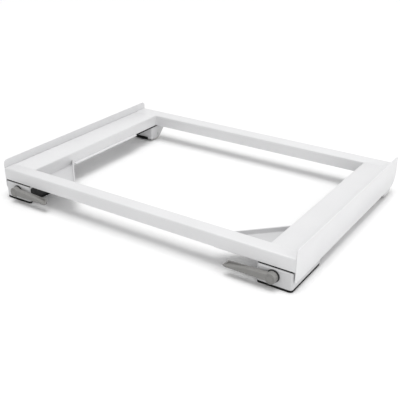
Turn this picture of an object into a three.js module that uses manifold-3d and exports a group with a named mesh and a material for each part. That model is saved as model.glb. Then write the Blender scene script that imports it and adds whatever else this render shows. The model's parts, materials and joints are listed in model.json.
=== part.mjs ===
// Roller base for a washing machine: a folded-sheet frame on four corner units.
// Millimetres, +Z up. The frame is drawn with its front face at y = 0 and its middle at x = 0,
// and the last lines centre the whole part on its footprint.

import * as THREE from 'three';
import { mergeVertices } from 'three/addons/utils/BufferGeometryUtils.js';
import Module from 'manifold-3d';

const wasm = await Module();
wasm.setup();

// Overall sizes
const baseWidth = 610;
const baseDepth = 428;
const seatHeight = 58;
const lipHeight = 15;
const frontRailWidth = 26;
const rearRailWidth = 30;
const sideRailWidth = 56;

// Sheet metal
const frameSheet = 1.5;
const frameBendRadius = 1;
const stiffenerWidth = 6.4;
const stiffenerRearGap = 78;
const cornerSheet = 2.5;
const cornerBendRadius = 2;

// Side plates
const plateGroundGap = 16;
const plateTopRadius = 8;
const plateFrontFootRadius = 5;
const plateRearFootRadius = 26;

// Corner gussets
const gussetLeg = 100;
const gussetFoldHeight = 8;
const gussetSetback = 3;
const gussetBendLand = 9;

// Front foot boxes
const footBoxWidth = 60;
const footBoxLength = 100;
const footBoxHeight = 28.3;
const footBoxProud = 3;
const footBoxPlateGap = 2.2;
const footBoxSheet = 1.5;
const footBoxCornerRadius = 4;
const footBoxEdgeRadius = 1.2;
const footBoxGroundGap = 4.2;
const boxWindowAxleGap = 19;
const boxWindowRadius = 3;

// Rear roller brackets
const rearBracketLength = 46;
const rearBracketChamfer = 19;

// Rollers and their axles
const rollerTopGap = 5;
const rollerWidth = 18.5;
const rollerEdgeRadius = 1.6;
const rollerHubRadius = 6;
const rollerHubShy = 0.5;
const rollerDishDepth = 2;
const rollerRimWall = 2.6;
const axleRadius = 3;
const axleEndChamfer = 0.5;
const spacerRadius = 4.6;
const frontAxleInset = 32;
const rearAxleInset = 24;

// Lever, shaft and cam
const leverInset = 35;
const leverAxisDrop = 10.5;
const leverHubRadius = 9.2;
const leverReach = 82;
const leverThickness = 10;
const leverArmDrop = 5.5;
const leverRimHeight = 11.6;
const leverRimTipHeight = 8.4;
const leverRimThickness = 2;
const leverRimEdge = 0.5;
const leverLedgeTipHeight = 3.8;
const leverTipSkew = 6.5;
const leverTipChamfer = 5;
const leverEdge = 1;
const leverWall = 1.6;
const leverSkin = 3;
const leverCellReach = 62;
const leverCellCount = 3;
const soleLift = 3;
const camSmallRadius = 5;
const camWidth = 12;
const camSetback = 13;
const shaftRadius = 4;
const shaftSquare = 5.6;
const squareDepth = 4.8;
const bearingSheet = 2;
const bearingFlangeLength = 17;
const bearingSideLand = 8;
const bearingBendRadius = 1.5;
const clipThickness = 0.8;
const clipRadius = 6.5;
const clipGrooveDepth = 0.9;
const clipMouth = Math.PI / 6;
const shaftTail = 2;
const bushFlangeRadius = 10.8;
const bushFlangeThickness = 1.5;
const bushBarrelRadius = 6.5;
const bushBarrelLength = 6;

// Lever cap and screw
const capRadius = 6.2;
const capRecess = 1.4;
const capDome = 0.6;
const screwHeadRadius = 3.2;
const screwHeadHeight = 2;
const screwShankRadius = 1.5;
const screwBite = 5;
const pilotRelief = 1;
const capCrownShares = [[0.9, 0.5], [0.6, 1]];

// Pressed-down soles
const soleRubber = 3.5;
const solePlate = 1.6;
const soleRibHeight = 3;
const soleRibWidth = 2;
const skirtSheet = 2;
const soleGrooveDepth = 1;
const soleGrooveWidth = 2.4;
const soleGrooveCount = 4;
const followerWall = 3;
const followerHead = 1.5;
const rollerWindowGap = 2;

// Rear edge trims
const trimRubber = 1.2;
const trimHeight = 6;
const trimInnerInset = 12;

// Bolts and nuts
const boltRadius = 2.5;
const boltHeadRadius = 4.6;
const boltHeadHeight = 3;
const boltTail = 2;
const nutHeight = 3.6;
const boltInset = 17;
const boltWallGap = 3.1;

// Clearances
const seatGap = 0.3;
const holeGap = 0.2;
const runGap = 0.1;
const slideGap = 0.3;
const cutOverrun = 5;

// Facet counts
const roundSteps = 24;
const rollerSteps = 18;
const smallRoundSteps = 16;
const cornerSteps = 2;
const clipSteps = 12;
const ledgeSteps = 6;
const bendSteps = 4;
const edgeSteps = 2;
const camSteps = 6;

// Sizes that follow from those above
const halfWidth = baseWidth / 2;
const lipTop = seatHeight + lipHeight;
const plateFace = halfWidth - frameSheet;
const railInside = halfWidth - sideRailWidth;
const frontInside = frontRailWidth;
const rearInside = baseDepth - rearRailWidth;
const boxTop = footBoxGroundGap + footBoxHeight;
const boxUnder = boxTop - footBoxSheet;
const railFoot = boxTop + cornerSheet;
const rollerRadius = (boxUnder - rollerTopGap) / 2;
const rollerDishRadius = rollerRadius - rollerRimWall;
const leverAxisHeight = boxUnder - leverAxisDrop;
const boxOuter = plateFace - footBoxPlateGap;
const boxInner = boxOuter - footBoxWidth;
const boxMiddle = boxOuter - footBoxWidth / 2;
const boxFront = -footBoxProud;
const boxRear = boxFront + footBoxLength;
const bracketFront = baseDepth - rearBracketLength;
const frontAxleY = boxRear - frontAxleInset;
const rearAxleY = baseDepth - rearAxleInset;
const leverX = halfWidth - leverInset;
const leverBack = boxFront - bushFlangeThickness - seatGap;
const leverFront = leverBack - leverThickness;
const camFront = boxFront + camSetback;
const camRear = camFront + camWidth;
const bearingFront = camRear + bearingSheet;
const bearingRear = bearingFront + bearingSheet;
const clipFront = bearingRear + seatGap;
const clipRear = clipFront + clipThickness;
const quarterTurn = Math.PI / 2;
const liftPerRadian = soleLift / quarterTurn;
const camLargeRadius = camSmallRadius + soleLift;
const carrierTop = soleRubber + solePlate;

// Finishes
const paintedSteel = new THREE.MeshStandardMaterial({ color: 0xf1f1f2, roughness: 0.42, metalness: 0 });
const zincSteel = new THREE.MeshStandardMaterial({ color: 0xb4b7bb, roughness: 0.35, metalness: 0.9 });
const greyNylon = new THREE.MeshStandardMaterial({ color: 0x8f8e8c, roughness: 0.5, metalness: 0 });
const blackNylon = new THREE.MeshStandardMaterial({ color: 0x1d1d1e, roughness: 0.55, metalness: 0 });
const blackRubber = new THREE.MeshStandardMaterial({ color: 0x141414, roughness: 0.85, metalness: 0 });
const paleNylon = new THREE.MeshStandardMaterial({ color: 0xd8d8d4, roughness: 0.45, metalness: 0 });

// Solids that can be joined and cut
function solidOf(geometry) {
  geometry.deleteAttribute('normal');
  geometry.deleteAttribute('uv');
  const merged = mergeVertices(geometry);
  const vertProperties = new Float32Array(merged.attributes.position.array);
  const triVerts = new Uint32Array(merged.index.array);
  return new wasm.Manifold(new wasm.Mesh({ numProp: 3, vertProperties, triVerts }));
}

function geometryOf(solid) {
  const mesh = solid.getMesh();
  const geometry = new THREE.BufferGeometry();
  geometry.setAttribute('position', new THREE.BufferAttribute(mesh.vertProperties, 3));
  geometry.setIndex(new THREE.BufferAttribute(mesh.triVerts, 1));
  geometry.computeVertexNormals();
  return geometry;
}

function joined(solids) {
  return solids.reduce((whole, piece) => whole.add(piece));
}

function cut(solid, tools) {
  return tools.reduce((whole, tool) => whole.subtract(tool), solid);
}

// Extrusions along each axis: a section for X is drawn in (y, z), for Y in (x, z), for Z in (x, y)
function along(axis, section, low, high, edge = 0, arcSteps = cornerSteps, edgeFacets = edgeSteps) {
  const geometry = new THREE.ExtrudeGeometry(section, {
    depth: high - low - 2 * edge,
    curveSegments: arcSteps,
    bevelEnabled: edge > 0,
    bevelThickness: edge,
    bevelSize: edge,
    bevelOffset: -edge,
    bevelSegments: edgeFacets,
  });
  const toAxis = new THREE.Matrix4();
  if (axis === 'x') toAxis.set(0, 0, 1, low + edge, 1, 0, 0, 0, 0, 1, 0, 0, 0, 0, 0, 1);
  if (axis === 'y') toAxis.set(1, 0, 0, 0, 0, 0, -1, high - edge, 0, 1, 0, 0, 0, 0, 0, 1);
  if (axis === 'z') toAxis.makeTranslation(0, 0, low + edge);
  return solidOf(geometry.applyMatrix4(toAxis));
}

function block(x1, x2, y1, y2, z1, z2) {
  const size = [x2 - x1, y2 - y1, z2 - z1].map(Math.abs);
  const geometry = new THREE.BoxGeometry(...size);
  return solidOf(geometry.translate((x1 + x2) / 2, (y1 + y2) / 2, (z1 + z2) / 2));
}

function polygon(points) {
  return new THREE.Shape(points.map(([u, v]) => new THREE.Vector2(u, v)));
}

// A rectangle whose corners have their own radii, in the order low-low, high-low, high-high, low-high
function roundedRectangle(u1, u2, v1, v2, radii) {
  const [a, b, c, d] = radii;
  const shape = new THREE.Shape();
  shape.moveTo(u1 + a, v1);
  shape.lineTo(u2 - b, v1);
  shape.absarc(u2 - b, v1 + b, b, -quarterTurn, 0, false);
  shape.lineTo(u2, v2 - c);
  shape.absarc(u2 - c, v2 - c, c, 0, quarterTurn, false);
  shape.lineTo(u1 + d, v2);
  shape.absarc(u1 + d, v2 - d, d, quarterTurn, Math.PI, false);
  shape.lineTo(u1, v1 + a);
  shape.absarc(u1 + a, v1 + a, a, Math.PI, Math.PI + quarterTurn, false);
  return shape;
}

// The section of a folded sheet: its middle line runs through the given corners, bent at each one
function foldedSection(corners, sheet, insideRadius) {
  const path = corners.map(([u, v]) => new THREE.Vector2(u, v));
  const radius = insideRadius + sheet / 2;
  const stations = [];
  const normalOf = (direction) => new THREE.Vector2(-direction.y, direction.x);
  for (let i = 0; i < path.length; i += 1) {
    const before = i > 0 ? path[i].clone().sub(path[i - 1]).normalize() : null;
    const after = i < path.length - 1 ? path[i + 1].clone().sub(path[i]).normalize() : null;
    if (!before || !after) {
      stations.push({ at: path[i], normal: normalOf(before || after) });
      continue;
    }
    const turn = Math.atan2(before.cross(after), before.dot(after));
    const setback = radius * Math.tan(Math.abs(turn) / 2);
    const start = path[i].clone().addScaledVector(before, -setback);
    const centre = start.clone().addScaledVector(normalOf(before), Math.sign(turn) * radius);
    for (let k = 0; k <= bendSteps; k += 1) {
      const angle = (turn * k) / bendSteps;
      const at = start.clone().rotateAround(centre, angle);
      stations.push({ at, normal: normalOf(before).rotateAround(new THREE.Vector2(), angle) });
    }
  }
  const face = (reach) => stations.map(({ at, normal }) => at.clone().addScaledVector(normal, reach));
  return new THREE.Shape([...face(sheet / 2), ...face(-sheet / 2).reverse()]);
}

// Turned pieces: the profile holds (radius, distance along the axis), runs anticlockwise so that the
// faces point outwards, and closes on itself
function turned(axis, profile, centre, steps = roundSteps) {
  const corners = profile.map(([r, s]) => new THREE.Vector2(r, s));
  if (THREE.ShapeUtils.isClockWise(corners)) corners.reverse();
  const geometry = new THREE.LatheGeometry([...corners, corners[0]], steps);
  if (axis === 'x') geometry.rotateZ(-quarterTurn);
  if (axis === 'z') geometry.rotateX(quarterTurn);
  return solidOf(geometry.translate(...centre));
}

function rod(axis, radius, low, high, centre, chamfer = 0, steps = smallRoundSteps) {
  const profile = [[0, low], [radius - chamfer, low], [radius, low + chamfer]];
  profile.push([radius, high - chamfer], [radius - chamfer, high], [0, high]);
  const distinct = chamfer > 0 ? profile : profile.filter((_, i) => i !== 2 && i !== 4);
  return turned(axis, distinct, centre, steps);
}

function tube(axis, innerRadius, outerRadius, low, high, centre, steps = smallRoundSteps) {
  const profile = [[innerRadius, low], [outerRadius, low], [outerRadius, high], [innerRadius, high]];
  return turned(axis, profile, centre, steps);
}

const pieces = [];

function addPiece(name, solid, material) {
  const mesh = new THREE.Mesh(geometryOf(solid), material);
  mesh.name = name;
  pieces.push(mesh);
}

// Front and rear rails: channels open underneath
function railSection(front, width) {
  const half = frameSheet / 2;
  return foldedSection([
    [front + half, railFoot],
    [front + half, seatHeight - half],
    [front + width - half, seatHeight - half],
    [front + width - half, railFoot],
  ], frameSheet, frameBendRadius);
}

function railEnvelope(front, width) {
  const radius = frameBendRadius + frameSheet + seatGap;
  const outline = roundedRectangle(front - seatGap, front + width + seatGap, -cutOverrun,
    seatHeight + seatGap, [0, 0, radius, radius]);
  return along('x', outline, -baseWidth, baseWidth);
}

// Side channel: hidden outer wall, seat, inner wall and a stiffening flange between the corners
function sideChannel(side) {
  const half = frameSheet / 2;
  const wall = [
    [side * (plateFace - half), railFoot],
    [side * (plateFace - half), seatHeight - half],
    [side * (railInside + half), seatHeight - half],
  ];
  const endReach = frameBendRadius + frameSheet;
  const innerFoot = [side * (railInside + half), railFoot];
  const plain = foldedSection([...wall, innerFoot], frameSheet, frameBendRadius);
  const flanged = foldedSection([
    ...wall,
    [side * (railInside + half), railFoot + half],
    [side * (railInside - stiffenerWidth), railFoot + half],
  ], frameSheet, frameBendRadius);
  const flangeFront = frontInside + gussetLeg;
  const flangeRear = rearInside - stiffenerRearGap;
  const whole = joined([
    along('y', plain, frontInside - endReach, flangeFront),
    along('y', flanged, flangeFront, flangeRear),
    along('y', plain, flangeRear, rearInside + endReach),
  ]);
  return cut(whole, [railEnvelope(0, frontRailWidth), railEnvelope(rearInside, rearRailWidth)]);
}

function sidePlate(side) {
  const radii = [plateFrontFootRadius, plateRearFootRadius, plateTopRadius, plateTopRadius];
  const outline = roundedRectangle(0, baseDepth, plateGroundGap, lipTop, radii);
  const faces = [side * plateFace, side * halfWidth].sort((a, b) => a - b);
  return along('x', outline, ...faces);
}

// Bolt places in (x, y) over a front foot box, with the height that each nut hangs from
const innerBoltX = railInside + frameSheet + boltWallGap + boltHeadRadius;
const boltPlaces = [
  { x: boxOuter - boltInset, y: bearingRear + boltInset / 2, nutTop: boxUnder - bearingSheet },
  { x: innerBoltX, y: bearingRear + boltInset / 2, nutTop: boxUnder - bearingSheet },
  { x: boxMiddle, y: boxRear - boltInset / 2, nutTop: boxUnder },
];
const flangeBolts = boltPlaces.slice(0, 2);
const boxBolts = boltPlaces.slice(2);

function hexagonAt(side, { x, y }, low, high) {
  const prism = new THREE.CylinderGeometry(boltHeadRadius, boltHeadRadius, high - low, 6);
  prism.rotateX(quarterTurn);
  return solidOf(prism.translate(side * x, y, (low + high) / 2));
}

function boltHoles(side) {
  return boltPlaces.map(({ x, y }) => rod('z', boltRadius + holeGap, 0, lipTop, [side * x, y, 0]));
}

function weldNuts(side, places) {
  return places.map((place) => hexagonAt(side, place, place.nutTop - nutHeight, place.nutTop + runGap));
}

function bolt(side, place) {
  const head = hexagonAt(side, place, railFoot, railFoot + boltHeadHeight);
  const foot = place.nutTop - nutHeight - boltTail;
  return head.add(rod('z', boltRadius, foot, railFoot + runGap, [side * place.x, place.y, 0]));
}

// Front gusset: a triangular plate under the corner, folded up along its long edge
function frontGusset(side) {
  const land = gussetBendLand * Math.SQRT2;
  const legEnd = railInside - gussetLeg;
  const plate = along('z', polygon([
    [side * boxOuter, gussetSetback],
    [side * boxOuter, frontInside + gussetLeg - land],
    [side * railInside, frontInside + gussetLeg - land],
    [side * (legEnd + land), frontInside],
    [side * (legEnd + land), gussetSetback],
  ]), boxTop, railFoot);
  const half = cornerSheet / 2;
  const middle = boxTop + half;
  const section = foldedSection([
    [gussetBendLand + half, middle],
    [half, middle],
    [half, railFoot + gussetFoldHeight],
  ], cornerSheet, cornerBendRadius);
  const strip = new THREE.ExtrudeGeometry(section, {
    depth: gussetLeg * Math.SQRT2,
    bevelEnabled: false,
  });
  const inward = new THREE.Vector3(side, -1, 0).normalize();
  const up = new THREE.Vector3(0, 0, 1);
  const start = side > 0 ? [railInside, frontInside + gussetLeg] : [-legEnd, frontInside];
  strip.applyMatrix4(new THREE.Matrix4().makeBasis(inward, up, inward.clone().cross(up)));
  strip.translate(...start, 0);
  const bounds = [side * (legEnd + seatGap), side * (railInside - seatGap)].sort((a, b) => a - b);
  const window = block(bounds[0], bounds[1], frontInside + seatGap, frontInside + gussetLeg,
    0, lipTop);
  const whole = plate.add(solidOf(strip).intersect(window));
  return cut(whole, boltHoles(side));
}

// Rear mounting plate, out of sight under the side channel and the rear rail
function rearMountingPlate(side) {
  const outline = polygon([
    [side * boxOuter, rearInside - stiffenerRearGap],
    [side * boxOuter, baseDepth - gussetSetback],
    [side * (railInside + gussetSetback), baseDepth - gussetSetback],
    [side * (railInside + gussetSetback), rearInside - stiffenerRearGap],
  ]);
  return along('z', outline, boxTop, railFoot);
}

// The open front part of a foot box's inner wall, where the sole carrier's skirt slides
const boxWindowFront = boxFront + footBoxCornerRadius;
const boxWindowRear = frontAxleY - boxWindowAxleGap;

function boxWindow(side) {
  const outline = roundedRectangle(boxWindowFront, boxWindowRear, -cutOverrun,
    boxUnder - footBoxEdgeRadius, [0, 0, boxWindowRadius, boxWindowRadius]);
  const xs = [side * (boxInner - cutOverrun), side * (boxInner + footBoxSheet + slideGap)];
  return along('x', outline, ...xs.sort((a, b) => a - b));
}

// Front foot box: a drawn steel box, open underneath, that holds the rollers, the sole and the cam
function frontFootBox(side) {
  const xs = [side * boxInner, side * boxOuter].sort((a, b) => a - b);
  const outer = roundedRectangle(xs[0], xs[1], boxFront, boxRear, Array(4).fill(footBoxCornerRadius));
  const innerRadius = footBoxCornerRadius - footBoxSheet;
  const inner = roundedRectangle(xs[0] + footBoxSheet, xs[1] - footBoxSheet, boxFront + footBoxSheet,
    boxRear - footBoxSheet, Array(4).fill(innerRadius));
  const shell = along('z', outer, footBoxGroundGap - cutOverrun, boxTop, footBoxEdgeRadius);
  const hollow = along('z', inner, -cutOverrun, boxUnder, footBoxEdgeRadius);
  const below = block(-baseWidth, baseWidth, -baseDepth, baseDepth, -cutOverrun, footBoxGroundGap);
  const bushHole = rod('y', bushBarrelRadius + holeGap, -cutOverrun, footBoxSheet + cutOverrun / 2,
    [side * leverX, boxFront, leverAxisHeight]);
  const axleHoles = rod('x', axleRadius + holeGap, xs[0] - cutOverrun, xs[1] + cutOverrun,
    [0, frontAxleY, rollerRadius]);
  const walls = cut(shell, [hollow, below, bushHole, axleHoles, boxWindow(side)]);
  return cut(joined([walls, ...weldNuts(side, boxBolts)]), boltHoles(side));
}

// Rear roller bracket: front wall, two side walls and top, with its lower rear corners cut off
function rearBracket(side) {
  const xs = [side * railInside, side * boxOuter].sort((a, b) => a - b);
  const outer = roundedRectangle(xs[0], xs[1], bracketFront, baseDepth + cutOverrun,
    Array(4).fill(footBoxCornerRadius));
  const inner = roundedRectangle(xs[0] + footBoxSheet, xs[1] - footBoxSheet,
    bracketFront + footBoxSheet, baseDepth + 2 * cutOverrun,
    Array(4).fill(footBoxCornerRadius - footBoxSheet));
  const sideView = polygon([
    [bracketFront - cutOverrun, footBoxGroundGap],
    [baseDepth - rearBracketChamfer, footBoxGroundGap],
    [baseDepth, footBoxGroundGap + rearBracketChamfer],
    [baseDepth, lipTop],
    [bracketFront - cutOverrun, lipTop],
  ]);
  const shell = along('z', outer, -cutOverrun, boxTop, footBoxEdgeRadius);
  const hollow = along('z', inner, -2 * cutOverrun, boxUnder, footBoxEdgeRadius);
  const axleHoles = rod('x', axleRadius + holeGap, xs[0] - cutOverrun, xs[1] + cutOverrun,
    [0, rearAxleY, rollerRadius]);
  const trimmed = cut(shell, [hollow]).intersect(along('x', sideView, -baseWidth, baseWidth));
  return cut(trimmed, [axleHoles]);
}

// Rubber trim clipped over the lower edge of the rear bracket's front wall
function rearEdgeTrim(side) {
  const wallFront = bracketFront - seatGap;
  const wallRear = bracketFront + footBoxSheet + seatGap;
  const wallFoot = footBoxGroundGap - seatGap;
  const foot = wallFoot - trimRubber;
  const top = foot + trimHeight;
  const section = polygon([
    [wallFront - trimRubber, foot],
    [wallRear + trimRubber, foot],
    [wallRear + trimRubber, top],
    [wallRear, top],
    [wallRear, wallFoot],
    [wallFront, wallFoot],
    [wallFront, top],
    [wallFront - trimRubber, top],
  ]);
  const xs = [side * (railInside + trimInnerInset), side * (boxOuter - footBoxCornerRadius)];
  return along('x', section, ...xs.sort((a, b) => a - b));
}

// Bearing bracket: an angle bolted inside the foot box that carries the shaft's inner end
function bearingBracket(side) {
  const half = bearingSheet / 2;
  const section = foldedSection([
    [bearingFront + half, leverAxisHeight - bearingSideLand],
    [bearingFront + half, boxUnder - half],
    [bearingFront + bearingFlangeLength, boxUnder - half],
  ], bearingSheet, bearingBendRadius);
  const innerEnd = skirtInner + skirtSheet + slideGap;
  const outerEnd = boxOuter - footBoxSheet - footBoxEdgeRadius - slideGap;
  const xs = [side * innerEnd, side * outerEnd].sort((a, b) => a - b);
  const shaftHole = rod('y', shaftRadius + runGap, bearingFront - cutOverrun, bearingRear + cutOverrun / 2,
    [side * leverX, 0, leverAxisHeight]);
  const angle = joined([along('x', section, ...xs), ...weldNuts(side, flangeBolts)]);
  return cut(angle, [shaftHole, ...boltHoles(side)]);
}

// The cam has the same breadth in every direction. Its two flanks are involutes, so the sole
// rises and falls in step with the lever, and the nose is trimmed where flank and arc cross.
function camOutline(centreX, centreZ, side) {
  const noseTrim = liftPerRadian / (2 * camLargeRadius);
  const points = [];
  const add = (from, to, support, slope) => {
    for (let k = 0; k <= camSteps; k += 1) {
      const turn = from + ((to - from) * k) / camSteps;
      const reach = support(turn);
      const down = turn - quarterTurn;
      const u = reach * Math.cos(down) - slope * Math.sin(down);
      const v = reach * Math.sin(down) + slope * Math.cos(down);
      points.push([centreX + side * u, centreZ + v]);
    }
  };
  const falling = (turn) => camLargeRadius - liftPerRadian * turn;
  const rising = (turn) => camSmallRadius + liftPerRadian * (turn - Math.PI);
  add(noseTrim, quarterTurn, falling, -liftPerRadian);
  add(quarterTurn, Math.PI, () => camSmallRadius, 0);
  add(Math.PI, Math.PI + quarterTurn - noseTrim, rising, liftPerRadian);
  add(Math.PI + quarterTurn + noseTrim, 2 * Math.PI - noseTrim, () => camLargeRadius, 0);
  const distinct = points.filter(([u, v], i) => {
    const [pu, pv] = points[(i + points.length - 1) % points.length];
    return Math.hypot(u - pu, v - pv) > runGap / 2;
  });
  return polygon(distinct);
}

function camShaft(side) {
  const centre = [side * leverX, 0, leverAxisHeight];
  const squareEnd = leverBack - squareDepth;
  const half = shaftSquare / 2;
  const tail = clipRear + shaftTail;
  const body = joined([
    rod('y', shaftRadius, leverBack + seatGap, tail, centre, axleEndChamfer),
    block(centre[0] - half, centre[0] + half, squareEnd, leverBack + shaftRadius,
      leverAxisHeight - half, leverAxisHeight + half),
    along('y', camOutline(centre[0], leverAxisHeight, side), camFront, camRear),
  ]);
  const groove = tube('y', shaftRadius - clipGrooveDepth, clipRadius, clipFront - runGap,
    clipRear + runGap, centre);
  const pilot = rod('y', screwShankRadius + runGap, squareEnd - cutOverrun,
    squareEnd + screwBite + pilotRelief, centre);
  return cut(body, [groove, pilot]);
}

// Open retaining ring in the shaft's groove
function shaftClip(side) {
  const inner = shaftRadius - clipGrooveDepth + runGap;
  const start = clipMouth - quarterTurn;
  const end = Math.PI + quarterTurn - clipMouth;
  const shape = new THREE.Shape();
  shape.absarc(side * leverX, leverAxisHeight, clipRadius, start, end, false);
  shape.absarc(side * leverX, leverAxisHeight, inner, end, start, true);
  return along('y', shape, clipFront, clipRear, 0, clipSteps);
}

function shaftBush(side) {
  const barrelEnd = boxFront + bushBarrelLength;
  return turned('y', [
    [shaftRadius + runGap, boxFront - bushFlangeThickness],
    [bushFlangeRadius, boxFront - bushFlangeThickness],
    [bushFlangeRadius, boxFront],
    [bushBarrelRadius, boxFront],
    [bushBarrelRadius, barrelEnd],
    [shaftRadius + runGap, barrelEnd],
  ], [side * leverX, 0, leverAxisHeight]);
}

// Lever shape in (distance towards the middle of the base, height over the axis). Its ledge falls
// from the hub to the tip in a quarter of a cosine, and a thin rim stands behind the ledge.
const armFoot = -leverArmDrop;
const rimHub = armFoot + leverRimHeight;
const rimTip = armFoot + leverRimTipHeight;
const ledgeTip = armFoot + leverLedgeTipHeight;
const armStart = Math.sqrt(leverHubRadius ** 2 - rimHub ** 2);
const ledgeEndShare = 0.92;

function ledgeTop(u) {
  const share = Math.min(1, (u - armStart) / ((leverReach - armStart) * ledgeEndShare));
  return ledgeTip + (rimHub - ledgeTip) * Math.cos(quarterTurn * share);
}

function rimTop(u) {
  return rimHub + ((rimTip - rimHub) * (u - armStart)) / (leverReach - armStart);
}

function leverOutline(side, topOf) {
  const startAngle = Math.asin(rimHub / leverHubRadius);
  const endAngle = Math.asin(armFoot / leverHubRadius);
  const at = (u, v) => [side * (leverX - u), leverAxisHeight + v];
  const points = [];
  for (let k = 0; k <= roundSteps; k += 1) {
    const angle = startAngle + ((2 * Math.PI - startAngle + endAngle) * k) / roundSteps;
    points.push(at(leverHubRadius * Math.cos(angle), leverHubRadius * Math.sin(angle)));
  }
  points.push(at(leverReach - leverTipChamfer, armFoot));
  points.push(at(leverReach, armFoot + leverLedgeTipHeight / 2));
  for (let k = ledgeSteps; k > 0; k -= 1) {
    const u = armStart + ((leverReach - armStart) * k) / ledgeSteps;
    points.push(at(u, topOf(u)));
  }
  return polygon(points);
}

// A strip along the lever's slanted end, seen from above, between two distances from that end
function tipStrip(side, near, far, low, high) {
  const corner = (u, y, reach) => [side * (leverX - u + reach), y];
  return along('z', polygon([
    corner(leverReach, leverFront, near),
    corner(leverReach - leverTipSkew, leverBack, near),
    corner(leverReach - leverTipSkew, leverBack, far),
    corner(leverReach, leverFront, far),
  ]), leverAxisHeight + low, leverAxisHeight + high);
}

// The rim turns the corner at the tip and runs down to the ledge's front edge
function tipWall(side) {
  const level = (v) => leverAxisHeight + v;
  const foot = level((ledgeTip + armFoot) / 2);
  const sideView = polygon([
    [leverFront + leverEdge, foot],
    [leverBack, foot],
    [leverBack, level(rimTip)],
    [leverBack - leverRimThickness, level(rimTip)],
    [leverFront + leverEdge, level(ledgeTip)],
  ]);
  const strip = tipStrip(side, 0, leverRimThickness, armFoot, rimHub);
  return strip.intersect(along('x', sideView, -baseWidth, baseWidth));
}

// Open cells in the back of the arm, with a rib between each two
function leverCells(side) {
  const start = leverHubRadius + leverWall;
  const pitch = (leverCellReach - start) / leverCellCount;
  const cells = [];
  for (let k = 0; k < leverCellCount; k += 1) {
    const near = start + pitch * k;
    const far = near + pitch - leverWall;
    const low = leverAxisHeight + armFoot + leverWall;
    const outline = polygon([
      [side * (leverX - near), low],
      [side * (leverX - far), low],
      [side * (leverX - far), leverAxisHeight + ledgeTop(far) - leverWall],
      [side * (leverX - near), leverAxisHeight + ledgeTop(near) - leverWall],
    ]);
    cells.push(along('y', outline, leverFront + leverSkin, leverBack + cutOverrun));
  }
  return cells;
}

function lever(side) {
  const centre = [side * leverX, 0, leverAxisHeight];
  const half = shaftSquare / 2 + runGap;
  const arm = along('y', leverOutline(side, ledgeTop), leverFront, leverBack, leverEdge);
  const rim = along('y', leverOutline(side, rimTop), leverBack - leverRimThickness, leverBack,
    leverRimEdge, cornerSteps, 1);
  const beyondTip = tipStrip(side, -leverReach, 0, armFoot - cutOverrun, rimHub + cutOverrun);
  const body = cut(joined([arm, rim, tipWall(side)]), [beyondTip]);
  const socket = block(centre[0] - half, centre[0] + half, leverBack - squareDepth - seatGap,
    leverBack + cutOverrun, leverAxisHeight - half, leverAxisHeight + half);
  const recessFloor = leverFront + capRecess;
  return cut(body, [
    socket,
    rod('y', capRadius + holeGap, leverFront - cutOverrun, recessFloor, centre),
    rod('y', screwHeadRadius + holeGap, leverFront, recessFloor + screwHeadHeight, centre),
    rod('y', screwShankRadius + holeGap, leverFront, leverBack, centre),
    ...leverCells(side),
  ]);
}

function leverCap(side) {
  const rear = leverFront + capRecess - runGap;
  return turned('y', [
    [0, leverFront - capDome],
    [0, rear],
    [capRadius, rear],
    [capRadius, leverFront],
    ...capCrownShares.map(([reachShare, riseShare]) => [
      capRadius * reachShare,
      leverFront - capDome * riseShare,
    ]),
  ], [side * leverX, 0, leverAxisHeight]);
}

function leverScrew(side) {
  const headFront = leverFront + capRecess;
  const headRear = headFront + screwHeadHeight - runGap;
  const socketReach = leverBack - squareDepth + screwBite;
  return turned('y', [
    [0, headFront],
    [0, socketReach],
    [screwShankRadius, socketReach],
    [screwShankRadius, headRear],
    [screwHeadRadius, headRear],
    [screwHeadRadius, headFront],
  ], [side * leverX, 0, leverAxisHeight], smallRoundSteps);
}

// The sole's outline fits inside the foot box, and its window lets the rollers through
const soleInset = footBoxSheet + slideGap;
const skirtInner = boxInner + soleInset + footBoxEdgeRadius;
const windowHalfX = rollerWidth + rollerWindowGap + runGap;
const windowHalfY = rollerRadius + rollerWindowGap;

function solePlan(side) {
  const xs = [side * (boxInner + soleInset), side * (boxOuter - soleInset)].sort((a, b) => a - b);
  const radius = footBoxCornerRadius - footBoxSheet;
  return roundedRectangle(xs[0], xs[1], boxFront + soleInset, boxRear - soleInset, Array(4).fill(radius));
}

function rollerWindow(side) {
  const x = side * boxMiddle;
  return block(x - windowHalfX, x + windowHalfX, frontAxleY - windowHalfY, frontAxleY + windowHalfY,
    -cutOverrun, lipTop);
}

function rubberSole(side) {
  const grooves = [];
  const first = boxFront + soleInset;
  const pitch = (frontAxleY - windowHalfY - first) / (soleGrooveCount + 1);
  for (let k = 1; k <= soleGrooveCount; k += 1) {
    const y = first + pitch * k;
    grooves.push(block(-baseWidth, baseWidth, y - soleGrooveWidth / 2, y + soleGrooveWidth / 2,
      -soleGrooveDepth, soleGrooveDepth));
  }
  return cut(along('z', solePlan(side), 0, soleRubber), [rollerWindow(side), ...grooves]);
}

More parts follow.
